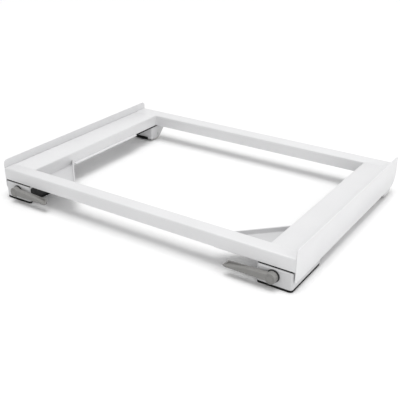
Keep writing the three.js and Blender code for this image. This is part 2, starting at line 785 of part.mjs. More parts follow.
// Sole carrier: the plate over the rubber, an outer rib, an inner skirt that closes the foot box's
// window, and the follower frame round the cam
function soleCarrier(side) {
  const x = side * leverX;
  const frameHalf = camLargeRadius + slideGap;
  const frameLow = leverAxisHeight - camLargeRadius - runGap;
  const frameHigh = leverAxisHeight + camSmallRadius + runGap;
  const plate = along('z', solePlan(side), soleRubber, carrierTop);
  const follower = block(x - frameHalf - followerWall, x + frameHalf + followerWall,
    camFront + runGap, camRear - runGap, carrierTop - runGap, frameHigh + followerHead);
  const ribOuter = boxOuter - soleInset - footBoxCornerRadius;
  const rib = block(side * ribOuter, side * (ribOuter - soleRibWidth),
    boxFront + footBoxCornerRadius + soleInset, frontAxleY - windowHalfY - soleRibWidth,
    carrierTop - runGap, carrierTop + soleRibHeight);
  const skirt = block(side * skirtInner, side * (skirtInner + skirtSheet),
    boxWindowFront + slideGap, boxWindowRear + skirtSheet, carrierTop - runGap,
    boxUnder - soleLift - slideGap);
  const bay = (low, high) => block(x - frameHalf, x + frameHalf, 0, camRear + cutOverrun, low, high);
  const camWindow = bay(frameLow, frameHigh);
  const lowerWindow = bay(carrierTop, frameLow - followerWall);
  return cut(joined([plate, follower, rib, skirt]), [rollerWindow(side), camWindow, lowerWindow]);
}

// A roller with dished ends and a plain bore
function roller(x, y) {
  const half = rollerWidth / 2;
  const bore = axleRadius + runGap;
  const dish = half - rollerDishDepth;
  const hub = half - rollerHubShy;
  const edgeX = half - rollerEdgeRadius;
  const edgeR = rollerRadius - rollerEdgeRadius;
  const halfSide = [
    [bore, hub],
    [rollerHubRadius, hub],
    [rollerHubRadius, dish],
    [rollerDishRadius, dish],
    [rollerDishRadius, half],
    [edgeR, half],
    [rollerRadius, edgeX],
  ];
  const mirrored = halfSide.map(([r, s]) => [r, -s]).reverse();
  return turned('x', [...halfSide, ...mirrored], [x, y, rollerRadius], rollerSteps);
}

function axle(side, inner, y) {
  const low = inner + seatGap;
  const high = boxOuter - seatGap / 2;
  const xs = [side * low, side * high].sort((a, b) => a - b);
  return rod('x', axleRadius, ...xs, [0, y, rollerRadius], axleEndChamfer);
}

function axleSpacer(side, low, high, y) {
  const xs = [side * low, side * high].sort((a, b) => a - b);
  return tube('x', axleRadius + runGap, spacerRadius, ...xs, [0, y, rollerRadius]);
}

// Front rollers stand together between two spacers, over the window in the sole
function addFrontRollers(word, side) {
  const reach = rollerWidth / 2 + runGap;
  const wall = footBoxSheet + runGap;
  const pairHalf = rollerWidth + 3 * runGap;
  const y = frontAxleY;
  addPiece(`${word}_front_axle`, axle(side, boxInner, y), zincSteel);
  addPiece(`${word}_front_inner_roller`, roller(side * (boxMiddle - reach), y), paleNylon);
  addPiece(`${word}_front_outer_roller`, roller(side * (boxMiddle + reach), y), paleNylon);
  const inner = axleSpacer(side, boxInner + wall, boxMiddle - pairHalf, y);
  const outer = axleSpacer(side, boxMiddle + pairHalf, boxOuter - wall, y);
  addPiece(`${word}_front_inner_spacer`, inner, blackNylon);
  addPiece(`${word}_front_outer_spacer`, outer, blackNylon);
}

// Rear rollers run next to the bracket's side walls, with one spacer between them
function addRearRollers(word, side) {
  const inset = footBoxSheet + slideGap;
  const inner = railInside + inset + rollerWidth / 2;
  const outer = boxOuter - inset - rollerWidth / 2;
  const reach = rollerWidth / 2 + runGap;
  const y = rearAxleY;
  addPiece(`${word}_rear_axle`, axle(side, railInside, y), zincSteel);
  addPiece(`${word}_rear_inner_roller`, roller(side * inner, y), paleNylon);
  addPiece(`${word}_rear_outer_roller`, roller(side * outer, y), paleNylon);
  addPiece(`${word}_rear_spacer`, axleSpacer(side, inner + reach, outer - reach, y), blackNylon);
}

// The assembly
const frontSection = railSection(0, frontRailWidth);
addPiece('front_rail', along('x', frontSection, -plateFace, plateFace), paintedSteel);
const rearSection = railSection(rearInside, rearRailWidth);
addPiece('rear_rail', along('x', rearSection, -plateFace, plateFace), paintedSteel);

[['left', -1], ['right', 1]].forEach(([word, side]) => {
  addPiece(`${word}_side_channel`, sideChannel(side), paintedSteel);
  addPiece(`${word}_side_plate`, sidePlate(side), paintedSteel);
  addPiece(`${word}_front_gusset`, frontGusset(side), paintedSteel);
  addPiece(`${word}_rear_mounting_plate`, rearMountingPlate(side), paintedSteel);
  addPiece(`${word}_front_foot_box`, frontFootBox(side), paintedSteel);
  addPiece(`${word}_rear_bracket`, rearBracket(side), paintedSteel);
  addPiece(`${word}_rear_edge_trim`, rearEdgeTrim(side), blackRubber);
  addPiece(`${word}_bearing_bracket`, bearingBracket(side), zincSteel);
  addPiece(`${word}_shaft_bush`, shaftBush(side), blackNylon);
  addPiece(`${word}_cam_shaft`, camShaft(side), zincSteel);
  addPiece(`${word}_shaft_clip`, shaftClip(side), zincSteel);
  addPiece(`${word}_lever`, lever(side), greyNylon);
  addPiece(`${word}_lever_cap`, leverCap(side), greyNylon);
  addPiece(`${word}_lever_screw`, leverScrew(side), zincSteel);
  addPiece(`${word}_sole_carrier`, soleCarrier(side), blackNylon);
  addPiece(`${word}_rubber_sole`, rubberSole(side), blackRubber);
  addFrontRollers(word, side);
  addRearRollers(word, side);
  boltPlaces.forEach((place, i) => addPiece(`${word}_front_bolt_${i + 1}`, bolt(side, place), zincSteel));
});

const base = new THREE.Group();
base.add(...pieces);
base.position.y = -(baseDepth + leverFront - capDome) / 2;

export default base;
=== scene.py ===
import json
from math import cos, radians, sin, tau

import bmesh
import bpy
from mathutils import Euler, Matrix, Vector


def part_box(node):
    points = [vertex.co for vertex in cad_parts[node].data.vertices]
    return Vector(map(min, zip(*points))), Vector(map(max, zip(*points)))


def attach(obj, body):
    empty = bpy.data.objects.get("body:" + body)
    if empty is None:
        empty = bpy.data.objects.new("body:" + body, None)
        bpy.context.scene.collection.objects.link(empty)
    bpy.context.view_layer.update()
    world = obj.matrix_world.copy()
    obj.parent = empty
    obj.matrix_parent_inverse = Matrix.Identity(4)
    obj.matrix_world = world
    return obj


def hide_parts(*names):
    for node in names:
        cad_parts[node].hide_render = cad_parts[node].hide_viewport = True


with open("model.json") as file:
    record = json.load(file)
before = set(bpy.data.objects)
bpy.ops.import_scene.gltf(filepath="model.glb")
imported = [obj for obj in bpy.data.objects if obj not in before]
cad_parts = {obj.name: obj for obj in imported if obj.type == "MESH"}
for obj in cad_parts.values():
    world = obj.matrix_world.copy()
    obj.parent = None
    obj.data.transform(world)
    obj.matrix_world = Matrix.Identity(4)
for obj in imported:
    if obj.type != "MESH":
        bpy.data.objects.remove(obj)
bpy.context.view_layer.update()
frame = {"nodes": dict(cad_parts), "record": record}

# Washing machine roller base. Its solids get their finishes and rounded edges, and bolt threads,
# welds and rubber strips are added to them.

MM = 0.001
QUARTER_TURN = radians(90)

# The fitted camera: its place from the frame's middle, its front face and the floor, its lens and
# sensor in millimetres, and its roll in radians
CAMERA_PLACE = Vector((656.1, -778.2, 562.7)) * MM
CAMERA_TILT = radians(64.10)
CAMERA_ROLL = 0.0013
CAMERA_TURN = radians(33.64)
CAMERA_LENS = 61.29
CAMERA_SENSOR = 36

# The studio, with the floor and the side lamp in metres
SUN_STRENGTH = 1.45
SUN_SPREAD = radians(38)
SIDE_LAMP_STRENGTH = 11.4
SIDE_LAMP_SIZE = 2.2
SIDE_LAMP_DISTANCE = 2.2
SIDE_LAMP_TURN = (0, radians(65), radians(-8))
SKY_STRENGTH = 0.535
FLOOR_REACH = 40.0

# Patterns of the finishes: the sizes of their clouds of colour, of the patches in their sheen, and
# of their relief
PAINT_CLOUD = 70 * MM
PAINT_SHEEN = 25 * MM
PAINT_PEEL = 5 * MM
SHEET_WAVE = 110 * MM
ZINC_CLOUD = 9 * MM
ZINC_SHEEN = 4 * MM
ZINC_DRAW_LINES = 1.2 * MM
NYLON_CLOUD = 14 * MM
NYLON_SHEEN = 6 * MM
NYLON_GRAIN = 0.9 * MM
ROLLER_GRAIN = 1.4 * MM
RUBBER_CLOUD = 5 * MM
RUBBER_SHEEN = 3 * MM
RUBBER_SKIN = 0.8 * MM
PAPER_FIBRE = 30 * MM

# Edge roundings of the dressed pieces
MERGE_GAP = 0.002 * MM
FLAT_ANGLE = radians(0.6)
SHARP_ANGLE = radians(31)
SHEET_EDGE = 0.3 * MM
MOULDED_EDGE = 0.5 * MM
TURNED_EDGE = 0.25 * MM
EDGE_SEGMENTS = 3

# Rollers, turned smooth, with ribs in the dish of each face
ROLLER_HUB_RADIUS = 6 * MM
ROLLER_RIM_WALL = 2.6 * MM
ROLLER_BORE = 3.1 * MM
ROLLER_DISH_DEPTH = 2 * MM
ROLLER_HUB_SHY = 0.5 * MM
ROLLER_TREAD_EDGE = 1.6 * MM
TREAD_EDGE_STEPS = 5
ROLLER_FACETS = 72
ROLLER_RIBS = 6
RIB_THICKNESS = 1.4 * MM
RIB_SHY = 0.6 * MM
RIB_BITE = 0.3 * MM

# Threads on the corner bolts
THREAD_PITCH = 0.8 * MM
THREAD_RADIUS = 2.5 * MM
THREAD_RIDGE = 0.17 * MM
THREAD_TURNS = 7.0
THREAD_STEPS = 16
RIDGE_FACETS = 4

# Welds: ground flush on the seats, left as beads in the inside corners and as short stitches along
# the side plates. A corner's bead curls over the bend at its top, and sinks into it as it goes.
GROUND_SEAM_HALF_WIDTH = 1.4 * MM
GROUND_SEAM_HALF_HEIGHT = 0.3 * MM
GROUND_SEAM_PROUD = 0.08 * MM
SEAM_SETBACK = 1.9 * MM
SEAM_END_GAP = 1 * MM
BEAD_RADIUS = 1.3 * MM
BEAD_FACETS = 12
BEAD_RIPPLE = 0.12
BEAD_RIPPLE_PITCH = 1.6 * MM
BEAD_STEPS_PER_RIPPLE = 6
BEAD_FOOT_GAP = 2 * MM
BEND_REACH = 2.5 * MM
BEND_SWEEP = radians(70)
BEND_STEPS = 4
BEND_SINK = 1.1 * MM
STITCH_COUNT = 4
STITCH_LENGTH = 24 * MM

# Rubber edging under the foot boxes' walls, and black strips in the grooves between the corner units
# and the frame, which are painted shade for the shadow in those grooves
EDGING_WIDTH = 1.6 * MM
EDGING_PROUD = 0.1 * MM
EDGING_FLOOR_GAP = 0.4 * MM
EDGING_WALL_GAP = 0.1 * MM
BOX_CORNER_RADIUS = 4 * MM
STRIP_WIDTH = 2.2 * MM
STRIP_SETBACK = 0.4 * MM
STRIP_INSET = STRIP_SETBACK + STRIP_WIDTH / 2
STRIP_PROUD = 0.9 * MM
STRIP_AIR = 0.1 * MM
CORNER_STEPS = 6

# Places read from the frame. PLATE_FACE is the side plates' inner face, WALL_INSIDE the side
# channels' inner wall, and RAIL_EDGES each rail's edge at the opening, with the way from it onto
# the rail.
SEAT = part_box("front_rail")[1].z
RAIL_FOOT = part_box("front_rail")[0].z
UNIT_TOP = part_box("left_rear_bracket")[1].z
PLATE_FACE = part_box("front_rail")[1].x
WALL_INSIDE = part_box("right_rear_bracket")[0].x
RAIL_EDGES = ((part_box("front_rail")[1].y, -1), (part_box("rear_rail")[0].y, 1))

SIDES = {"left": -1, "right": 1}
PRESSED_PARTS = ("front_gusset", "rear_mounting_plate", "front_foot_box", "rear_bracket")
NODE_SLOT = {part["node"]: part["material_slot"] for part in frame["record"]["subparts"]}
NODE_BODY = {node: body for body, nodes in frame["record"]["behaviour"]["bodies"].items()
             for node in nodes}


# Colours are written as sRGB hex values and turned to linear light here
def linear(hex_colour):
    channels = [int(hex_colour[i:i + 2], 16) / 255 for i in (0, 2, 4)]
    return (*(c / 12.92 if c <= 0.04045 else ((c + 0.055) / 1.055) ** 2.4 for c in channels), 1.0)


# Adds one node, sets its inputs by name or number, and links the sockets given as (node, output).
# An input that takes several links is given a list of them.
def add_node(tree, kind, values=None, links=None, **settings):
    node = tree.nodes.new(kind)
    for key, value in settings.items():
        setattr(node, key, value)
    for key, value in (values or {}).items():
        node.inputs[key].default_value = value
    for key, given in (links or {}).items():
        for source, output in given if isinstance(given, list) else [given]:
            tree.links.new(source.outputs[output], node.inputs[key])
    return node


def new_material(name):
    material = bpy.data.materials.new(name)
    material.use_nodes = True
    material.node_tree.nodes.clear()
    return material, material.node_tree


# A colour clouded between two near shades
def clouded(tree, place, size, dark, light, detail=3.0):
    noise = add_node(tree, "ShaderNodeTexNoise", {"Scale": 1 / size, "Detail": detail},
                     {"Vector": (place, "Object")})
    return add_node(tree, "ShaderNodeMix", {"A": linear(dark), "B": linear(light)},
                    {"Factor": (noise, "Fac")}, data_type="RGBA")


# A roughness that wanders between two limits
def uneven_sheen(tree, place, size, low, high, detail=2.0):
    noise = add_node(tree, "ShaderNodeTexNoise", {"Scale": 1 / size, "Detail": detail},
                     {"Vector": (place, "Object")})
    return add_node(tree, "ShaderNodeMapRange", {"To Min": low, "To Max": high},
                    {"Value": (noise, "Fac")})


# Powder coat on steel sheet: white, semi-gloss, with the faint orange peel of melted powder.
# The peel is drawn at 5 mm, coarser than the real 1 to 2 mm, so that it shows.
def powder_coated_steel(name, dark, light):
    material, tree = new_material(name)
    place = add_node(tree, "ShaderNodeTexCoord")
    colour = clouded(tree, place, PAINT_CLOUD, dark, light)
    rough = uneven_sheen(tree, place, PAINT_SHEEN, low=0.34, high=0.46)
    peel = add_node(tree, "ShaderNodeTexNoise",
                    {"Scale": 1 / PAINT_PEEL, "Detail": 2.0, "Roughness": 0.45},
                    {"Vector": (place, "Object")})
    sheet = add_node(tree, "ShaderNodeTexNoise", {"Scale": 1 / SHEET_WAVE, "Detail": 1.0},
                     {"Vector": (place, "Object")})
    wave = add_node(tree, "ShaderNodeBump", {"Strength": 0.25, "Distance": 0.5 * MM},
                    {"Height": (sheet, "Fac")})
    bump = add_node(tree, "ShaderNodeBump", {"Strength": 0.6, "Distance": 0.12 * MM},
                    {"Height": (peel, "Fac"), "Normal": (wave, "Normal")})
    shader = add_node(tree, "ShaderNodeBsdfPrincipled",
                      {"IOR": 1.5, "Coat Weight": 0.25, "Coat Roughness": 0.3, "Coat IOR": 1.5},
                      {"Base Color": (colour, "Result"), "Roughness": (rough, "Result"),
                       "Normal": (bump, "Normal")})
    add_node(tree, "ShaderNodeOutputMaterial", links={"Surface": (shader, "BSDF")})
    return material


# Bright zinc plate on steel: cool grey metal, clouded by the passivation, with fine draw lines
def zinc_plated_steel():
    material, tree = new_material("zinc_plated_steel")
    place = add_node(tree, "ShaderNodeTexCoord")
    colour = clouded(tree, place, ZINC_CLOUD, "A9ACB0", "C6C7C4", detail=4.0)
    rough = uneven_sheen(tree, place, ZINC_SHEEN, low=0.26, high=0.46, detail=4.0)
    lines = add_node(tree, "ShaderNodeTexNoise", {"Scale": 1 / ZINC_DRAW_LINES, "Detail": 5.0},
                     {"Vector": (place, "Object")})
    bump = add_node(tree, "ShaderNodeBump", {"Strength": 0.35, "Distance": 0.04 * MM},
                    {"Height": (lines, "Fac")})
    shader = add_node(tree, "ShaderNodeBsdfPrincipled", {"Metallic": 1.0},
                      {"Base Color": (colour, "Result"), "Roughness": (rough, "Result"),
                       "Normal": (bump, "Normal")})
    add_node(tree, "ShaderNodeOutputMaterial", links={"Surface": (shader, "BSDF")})
    return material


# Injection-moulded nylon: dull sheen over a spark-eroded grain, clouded where the melt has flowed.
# The roughness lies between low and high.
def moulded_nylon(name, dark, light, grain, low, high):
    material, tree = new_material(name)
    place = add_node(tree, "ShaderNodeTexCoord")
    colour = clouded(tree, place, NYLON_CLOUD, dark, light)
    rough = uneven_sheen(tree, place, NYLON_SHEEN, low, high)
    pits = add_node(tree, "ShaderNodeTexNoise",
                    {"Scale": 1 / grain, "Detail": 3.0, "Roughness": 0.55},
                    {"Vector": (place, "Object")})
    bump = add_node(tree, "ShaderNodeBump", {"Strength": 0.6, "Distance": 0.14 * MM},
                    {"Height": (pits, "Fac")})
    shader = add_node(tree, "ShaderNodeBsdfPrincipled", {"IOR": 1.53},
                      {"Base Color": (colour, "Result"), "Roughness": (rough, "Result"),
                       "Normal": (bump, "Normal")})
    add_node(tree, "ShaderNodeOutputMaterial", links={"Surface": (shader, "BSDF")})
    return material


# Moulded solid rubber: deep black and matt, with next to no sheen
def moulded_rubber():
    material, tree = new_material("moulded_black_rubber")
    place = add_node(tree, "ShaderNodeTexCoord")
    colour = clouded(tree, place, RUBBER_CLOUD, "060606", "101010", detail=5.0)
    rough = uneven_sheen(tree, place, RUBBER_SHEEN, low=0.78, high=0.94)
    skin = add_node(tree, "ShaderNodeTexNoise", {"Scale": 1 / RUBBER_SKIN, "Detail": 3.0},
                    {"Vector": (place, "Object")})
    bump = add_node(tree, "ShaderNodeBump", {"Strength": 0.6, "Distance": 0.08 * MM},
                    {"Height": (skin, "Fac")})
    shader = add_node(tree, "ShaderNodeBsdfPrincipled", {"IOR": 1.52, "Specular IOR Level": 0.25},
                      {"Base Color": (colour, "Result"), "Roughness": (rough, "Result"),
                       "Normal": (bump, "Normal")})
    add_node(tree, "ShaderNodeOutputMaterial", links={"Surface": (shader, "BSDF")})
    return material


# One for rays from the camera, in reflections and through clear matter, and nought for all others
def seen_ray(tree):
    path = add_node(tree, "ShaderNodeLightPath")
    camera_or_gloss = add_node(tree, "ShaderNodeMath", operation="MAXIMUM",
                               links={0: (path, "Is Camera Ray"), 1: (path, "Is Glossy Ray")})
    return add_node(tree, "ShaderNodeMath", operation="MAXIMUM",
                    links={0: (camera_or_gloss, "Value"), 1: (path, "Is Transmission Ray")})


# Paper with a faint fibre, white wherever it is seen, which sends a little less back to the object
def studio_floor_paper():
    material, tree = new_material("white_paper_sweep")
    place = add_node(tree, "ShaderNodeTexCoord")
    fibre = clouded(tree, place, PAPER_FIBRE, "FEFEFE", "FFFFFF")
    colour = add_node(tree, "ShaderNodeMix", {"A": linear("FAFAFA")},
                      {"Factor": (seen_ray(tree), "Value"), "B": (fibre, "Result")},
                      data_type="RGBA")
    shader = add_node(tree, "ShaderNodeBsdfDiffuse", links={"Color": (colour, "Result")})
    add_node(tree, "ShaderNodeOutputMaterial", links={"Surface": (shader, "BSDF")})
    return material


# Pressed parts are painted greyer than folded ones. Part of this is a thinner coat, and part is
# painted shade for the recesses under the rails where most of them sit.
FRAME_PAINT = powder_coated_steel("white_powder_coated_folded_steel", "E0E0E1", "E7E7E8")
CORNER_PAINT_AND_SHADE = powder_coated_steel("greyer_white_powder_coat_and_painted_shade_on_pressed_steel", "CDCDCE", "D4D4D5")
ZINC = zinc_plated_steel()
GREY_NYLON = moulded_nylon("moulded_grey_nylon", "7E7D7B", "8B8A88", NYLON_GRAIN, low=0.42, high=0.56)
BLACK_NYLON = moulded_nylon("moulded_black_nylon", "171718", "222223", NYLON_GRAIN, low=0.42, high=0.6)
PALE_NYLON = moulded_nylon("natural_white_nylon", "D3D2CB", "DEDDD8", ROLLER_GRAIN, low=0.36, high=0.5)
RUBBER = moulded_rubber()

# Each material slot's finish, and how far its edges are rounded
SLOTS = {
    "painted_steel": (FRAME_PAINT, SHEET_EDGE),
    "zinc_steel": (ZINC, TURNED_EDGE),
    "grey_nylon": (GREY_NYLON, MOULDED_EDGE),
    "black_nylon": (BLACK_NYLON, TURNED_EDGE),
    "black_rubber": (RUBBER, TURNED_EDGE),
    "pale_nylon": (PALE_NYLON, TURNED_EDGE),
}


# A mesh object at the origin, with its place in its mesh
def new_piece(name, mesh):
    piece = bpy.data.objects.new(name, mesh)
    bpy.context.scene.collection.objects.link(piece)
    return piece


# Bakes a piece's modifiers into its mesh
def settled(piece):
    bpy.context.view_layer.update()
    graph = bpy.context.evaluated_depsgraph_get()
    mesh = bpy.data.meshes.new_from_object(piece.evaluated_get(graph), depsgraph=graph)
    piece.modifiers.clear()
    piece.data = mesh
    return piece


# Rounds a piece's sharp edges and shades its bends smooth
def rounded(piece, edge):
    rounding = piece.modifiers.new("rounded_edges", "BEVEL")
    rounding.width = edge
    rounding.segments = EDGE_SEGMENTS
    rounding.limit_method = "ANGLE"
    rounding.angle_limit = SHARP_ANGLE
    rounding.harden_normals = True
    rounding.use_clamp_overlap = True
    return settled(piece)


# A mesh opened for editing, with its doubled points merged
def merged_shape(mesh):
    shape = bmesh.new()
    shape.from_mesh(mesh)
    bmesh.ops.remove_doubles(shape, verts=shape.verts, dist=MERGE_GAP)
    return shape


# Writes an edited shape into a mesh, with its faces shaded smooth
def write_smooth(shape, mesh):
    for face in shape.faces:
        face.smooth = True
    shape.to_mesh(mesh)
    shape.free()


# A copy of a solid with its flat faces whole again
def dressed_copy(node):
    shape = merged_shape(frame["nodes"][node].data)
    bmesh.ops.dissolve_limit(shape, angle_limit=FLAT_ANGLE, verts=shape.verts, edges=shape.edges)
    mesh = bpy.data.meshes.new(f"{node}_dressed")
    write_smooth(shape, mesh)
    return new_piece(f"{node}_dressed", mesh)


# A piece that stands for a solid, in its finish and on its body
def hand_over(piece, node, material):
    piece.data.materials.clear()
    piece.data.materials.append(material)
    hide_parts(node)
    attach(piece, NODE_BODY[node])


# A piece that is added to the frame, with no solid of its own
def add_to_frame(piece):
    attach(piece, NODE_BODY["front_rail"])


# A geometry tree with a named input for each of its sizes, given with the kind of its socket
def new_shape_tree(name, sizes):
    tree = bpy.data.node_groups.new(name, "GeometryNodeTree")
    tree.interface.new_socket("Geometry", in_out="OUTPUT", socket_type="NodeSocketGeometry")
    for label, kind in {"Geometry": "Geometry", **sizes, "Material": "Material"}.items():
        tree.interface.new_socket(label, in_out="INPUT", socket_type=f"NodeSocket{kind}")
    return tree, add_node(tree, "NodeGroupInput")


# The end of every tree: instances made real, then the material
def end_shape_tree(tree, given, shape, output):
    whole = add_node(tree, "GeometryNodeRealizeInstances", links={"Geometry": (shape, output)})
    coated = add_node(tree, "GeometryNodeSetMaterial",
                      links={"Geometry": (whole, "Geometry"), "Material": (given, "Material")})
    add_node(tree, "NodeGroupOutput", links={"Geometry": (coated, "Geometry")})
    return tree


# Grows a piece from points or lines by its tree, and turns its faces outwards
def grown(name, points, lines, tree, sizes):
    seed = bpy.data.meshes.new(f"{name}_lines")
    seed.from_pydata(points, lines, [])
    piece = new_piece(name, seed)
    modifier = piece.modifiers.new("shape", "NODES")
    modifier.node_group = tree
    for socket in tree.interface.items_tree:
        if socket.in_out == "INPUT" and socket.name in sizes:
            modifier[socket.identifier] = sizes[socket.name]
    settled(piece)
    shape = merged_shape(piece.data)
    bmesh.ops.recalc_face_normals(shape, faces=shape.faces)
    write_smooth(shape, piece.data)
    return piece


# Grows one piece along several lines, each given as its points
def grown_along(name, lines, tree, sizes):
    points, edges = [], []
    for line in lines:
        edges += [(i, i + 1) for i in range(len(points), len(points) + len(line) - 1)]
        points += line
    return grown(name, points, edges, tree, sizes)


# Roller: its outline turned round the axle, with a ring of ribs in the dish of each face.
# The lathe is a circle as wide as the hub, and the outline is measured from there.
def roller_tree():
    tree, given = new_shape_tree("turned_roller_with_ribs", {
        "Centre": "Vector", "Lathe Radius": "Float", "Facets": "Int",
        "Rib Count": "Int", "Rib Size": "Vector", "Rib Place": "Vector"})
    outline = add_node(tree, "GeometryNodeMeshToCurve", links={"Mesh": (given, "Geometry")})
    lathe = add_node(tree, "GeometryNodeCurvePrimitiveCircle",
                     links={"Resolution": (given, "Facets"), "Radius": (given, "Lathe Radius")})
    turned = add_node(tree, "GeometryNodeCurveToMesh",
                      links={"Curve": (lathe, "Curve"), "Profile Curve": (outline, "Curve")})
    rib = add_node(tree, "GeometryNodeMeshCube", links={"Size": (given, "Rib Size")})
    near = add_node(tree, "GeometryNodeTransform",
                    links={"Geometry": (rib, "Mesh"), "Translation": (given, "Rib Place")})
    mirrored = add_node(tree, "ShaderNodeVectorMath", {1: (1, 1, -1)}, {0: (given, "Rib Place")},
                        operation="MULTIPLY")
    far = add_node(tree, "GeometryNodeTransform",
                   links={"Geometry": (rib, "Mesh"), "Translation": (mirrored, "Vector")})
    pair = add_node(tree, "GeometryNodeJoinGeometry",
                    links={"Geometry": [(near, "Geometry"), (far, "Geometry")]})
    index = add_node(tree, "GeometryNodeInputIndex")
    step = add_node(tree, "ShaderNodeMath", {0: tau}, {1: (given, "Rib Count")}, operation="DIVIDE")
    angle = add_node(tree, "ShaderNodeMath", links={0: (index, "Index"), 1: (step, "Value")},
                     operation="MULTIPLY")
    turn = add_node(tree, "ShaderNodeCombineXYZ", links={"Z": (angle, "Value")})
    spokes = add_node(tree, "GeometryNodePoints", links={"Count": (given, "Rib Count")})
    ring = add_node(tree, "GeometryNodeInstanceOnPoints",
                    links={"Points": (spokes, "Points"), "Instance": (pair, "Geometry"),
                           "Rotation": (turn, "Vector")})
    both = add_node(tree, "GeometryNodeJoinGeometry",
                    links={"Geometry": [(turned, "Mesh"), (ring, "Instances")]})
    laid = add_node(tree, "GeometryNodeTransform", {"Rotation": (0, QUARTER_TURN, 0)},
                    {"Geometry": (both, "Geometry"), "Translation": (given, "Centre")})
    return end_shape_tree(tree, given, laid, "Geometry")


# Half of a roller's outline, as distances from its axis and from its middle
def roller_outline(radius, half):
    outline = [(ROLLER_BORE, half - ROLLER_HUB_SHY), (ROLLER_HUB_RADIUS, half - ROLLER_HUB_SHY),
               (ROLLER_HUB_RADIUS, half - ROLLER_DISH_DEPTH),
               (radius - ROLLER_RIM_WALL, half - ROLLER_DISH_DEPTH),
               (radius - ROLLER_RIM_WALL, half)]
    for step in range(TREAD_EDGE_STEPS + 1):
        angle = QUARTER_TURN * step / TREAD_EDGE_STEPS
        outline.append((radius - ROLLER_TREAD_EDGE * (1 - sin(angle)),
                        half - ROLLER_TREAD_EDGE * (1 - cos(angle))))
    return outline


# A roller as large as its solid
def roller(node, tree):
    low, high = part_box(node)
    radius = (high.z - low.z) / 2
    half = (high.x - low.x) / 2
    near_side = roller_outline(radius, half)
    outline = near_side + [(distance, -across) for distance, across in reversed(near_side)]
    points = [(distance - ROLLER_HUB_RADIUS, across, 0) for distance, across in outline]
    lines = [(i, (i + 1) % len(points)) for i in range(len(points))]
    rib_inner = ROLLER_HUB_RADIUS - RIB_BITE
    rib_outer = radius - ROLLER_RIM_WALL + RIB_BITE
    rib_floor = half - ROLLER_DISH_DEPTH - RIB_BITE
    rib_face = half - ROLLER_HUB_SHY - RIB_SHY
    return grown(f"{node}_turned", points, lines, tree, {
        "Centre": (low + high) / 2, "Lathe Radius": ROLLER_HUB_RADIUS,
        "Facets": ROLLER_FACETS, "Rib Count": ROLLER_RIBS,
        "Rib Size": (rib_outer - rib_inner, RIB_THICKNESS, rib_face - rib_floor),
        "Rib Place": ((rib_outer + rib_inner) / 2, 0, (rib_face + rib_floor) / 2),
        "Material": PALE_NYLON})


# Thread: one helical ridge, laid round the shank above each given point
def thread_tree():
    tree, given = new_shape_tree("rolled_bolt_thread", {
        "Turns": "Float", "Pitch": "Float", "Shank Radius": "Float", "Ridge": "Float",
        "Steps per Turn": "Int"})
    rise = add_node(tree, "ShaderNodeMath", links={0: (given, "Turns"), 1: (given, "Pitch")},
                    operation="MULTIPLY")
    helix = add_node(tree, "GeometryNodeCurveSpiral",
                     links={"Resolution": (given, "Steps per Turn"), "Rotations": (given, "Turns"),
                            "Start Radius": (given, "Shank Radius"),
                            "End Radius": (given, "Shank Radius"), "Height": (rise, "Value")})
    ridge = add_node(tree, "GeometryNodeCurvePrimitiveCircle", {"Resolution": RIDGE_FACETS},
                     {"Radius": (given, "Ridge")})
    thread = add_node(tree, "GeometryNodeCurveToMesh", {"Fill Caps": True},
                      {"Curve": (helix, "Curve"), "Profile Curve": (ridge, "Curve")})
    feet = add_node(tree, "GeometryNodeMeshToPoints", links={"Mesh": (given, "Geometry")})
    laid = add_node(tree, "GeometryNodeInstanceOnPoints",
                    links={"Points": (feet, "Points"), "Instance": (thread, "Mesh")})
    return end_shape_tree(tree, given, laid, "Instances")


def corner_bolt_threads():
    feet = []
    for node in NODE_SLOT:
        if "front_bolt" in node:
            low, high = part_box(node)
            feet.append(((low.x + high.x) / 2, (low.y + high.y) / 2, low.z + THREAD_RIDGE))
    return grown("corner_bolt_threads", feet, [], thread_tree(), {
        "Turns": THREAD_TURNS, "Pitch": THREAD_PITCH, "Shank Radius": THREAD_RADIUS,
        "Ridge": THREAD_RIDGE, "Steps per Turn": THREAD_STEPS, "Material": ZINC})


# Weld: an oval section swept along each given line, rippled as the torch leaves it
def weld_tree():
    tree, given = new_shape_tree("weld_along_seams", {
        "Half Width": "Float", "Half Height": "Float", "Step": "Float",
        "Ripple": "Float", "Ripple Pitch": "Float"})
    seams = add_node(tree, "GeometryNodeMeshToCurve", links={"Mesh": (given, "Geometry")})
    dense = add_node(tree, "GeometryNodeResampleCurve",
                     links={"Curve": (seams, "Curve"), "Length": (given, "Step")}, mode="LENGTH")
    place = add_node(tree, "GeometryNodeSplineParameter")
    turns = add_node(tree, "ShaderNodeMath",
                     links={0: (place, "Length"), 1: (given, "Ripple Pitch")}, operation="DIVIDE")
    angle = add_node(tree, "ShaderNodeMath", {1: tau}, {0: (turns, "Value")}, operation="MULTIPLY")
    wave = add_node(tree, "ShaderNodeMath", links={0: (angle, "Value")}, operation="SINE")
    swell = add_node(tree, "ShaderNodeMath", {2: 1.0}, {0: (wave, "Value"), 1: (given, "Ripple")},
                     operation="MULTIPLY_ADD")
    ring = add_node(tree, "GeometryNodeCurvePrimitiveCircle",
                    {"Resolution": BEAD_FACETS, "Radius": 1.0})
    squeeze = add_node(tree, "ShaderNodeCombineXYZ", {"Z": 1.0},
                       {"X": (given, "Half Width"), "Y": (given, "Half Height")})
    section = add_node(tree, "GeometryNodeTransform",
                       links={"Geometry": (ring, "Curve"), "Scale": (squeeze, "Vector")})
    bead = add_node(tree, "GeometryNodeCurveToMesh", {"Fill Caps": True},
                    {"Curve": (dense, "Curve"), "Profile Curve": (section, "Geometry"),
                     "Scale": (swell, "Value")})
    return end_shape_tree(tree, given, bead, "Mesh")


